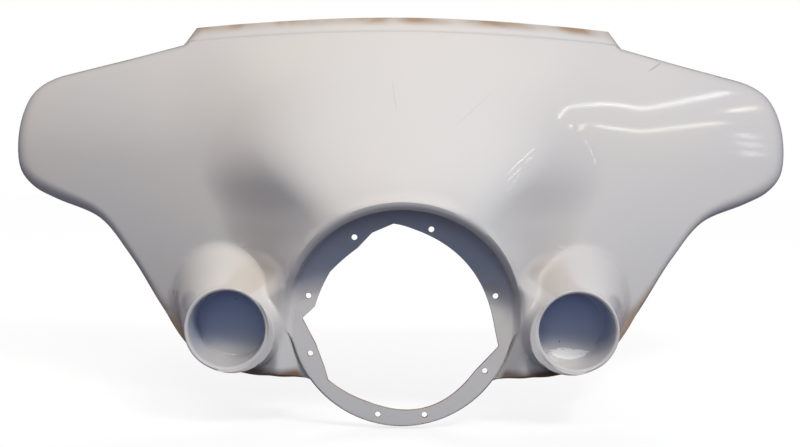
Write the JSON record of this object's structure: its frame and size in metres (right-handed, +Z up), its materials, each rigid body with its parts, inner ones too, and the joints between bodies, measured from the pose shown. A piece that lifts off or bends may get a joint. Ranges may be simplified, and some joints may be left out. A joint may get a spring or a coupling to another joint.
{
  "type": "motorcycle fairing",
  "caption": "One-piece outer front fairing shell with swept wings, hooded round headlight ring, blind lamp cups and a recessed screen flange.",
  "frame": {"origin": "centre of the headlight screw circle, on the flat front face of the ring", "axes": "+X to the right seen from the front, -Y the way the headlight looks, +Z up"},
  "size_m": [0.874, 0.3211, 0.3938],
  "materials": {
    "gelcoat": "glossy off-white gelcoat, unpainted"
  },
  "bodies": {
    "root": {"fairing_shell": "gelcoat"}
  },
  "joints": []
}
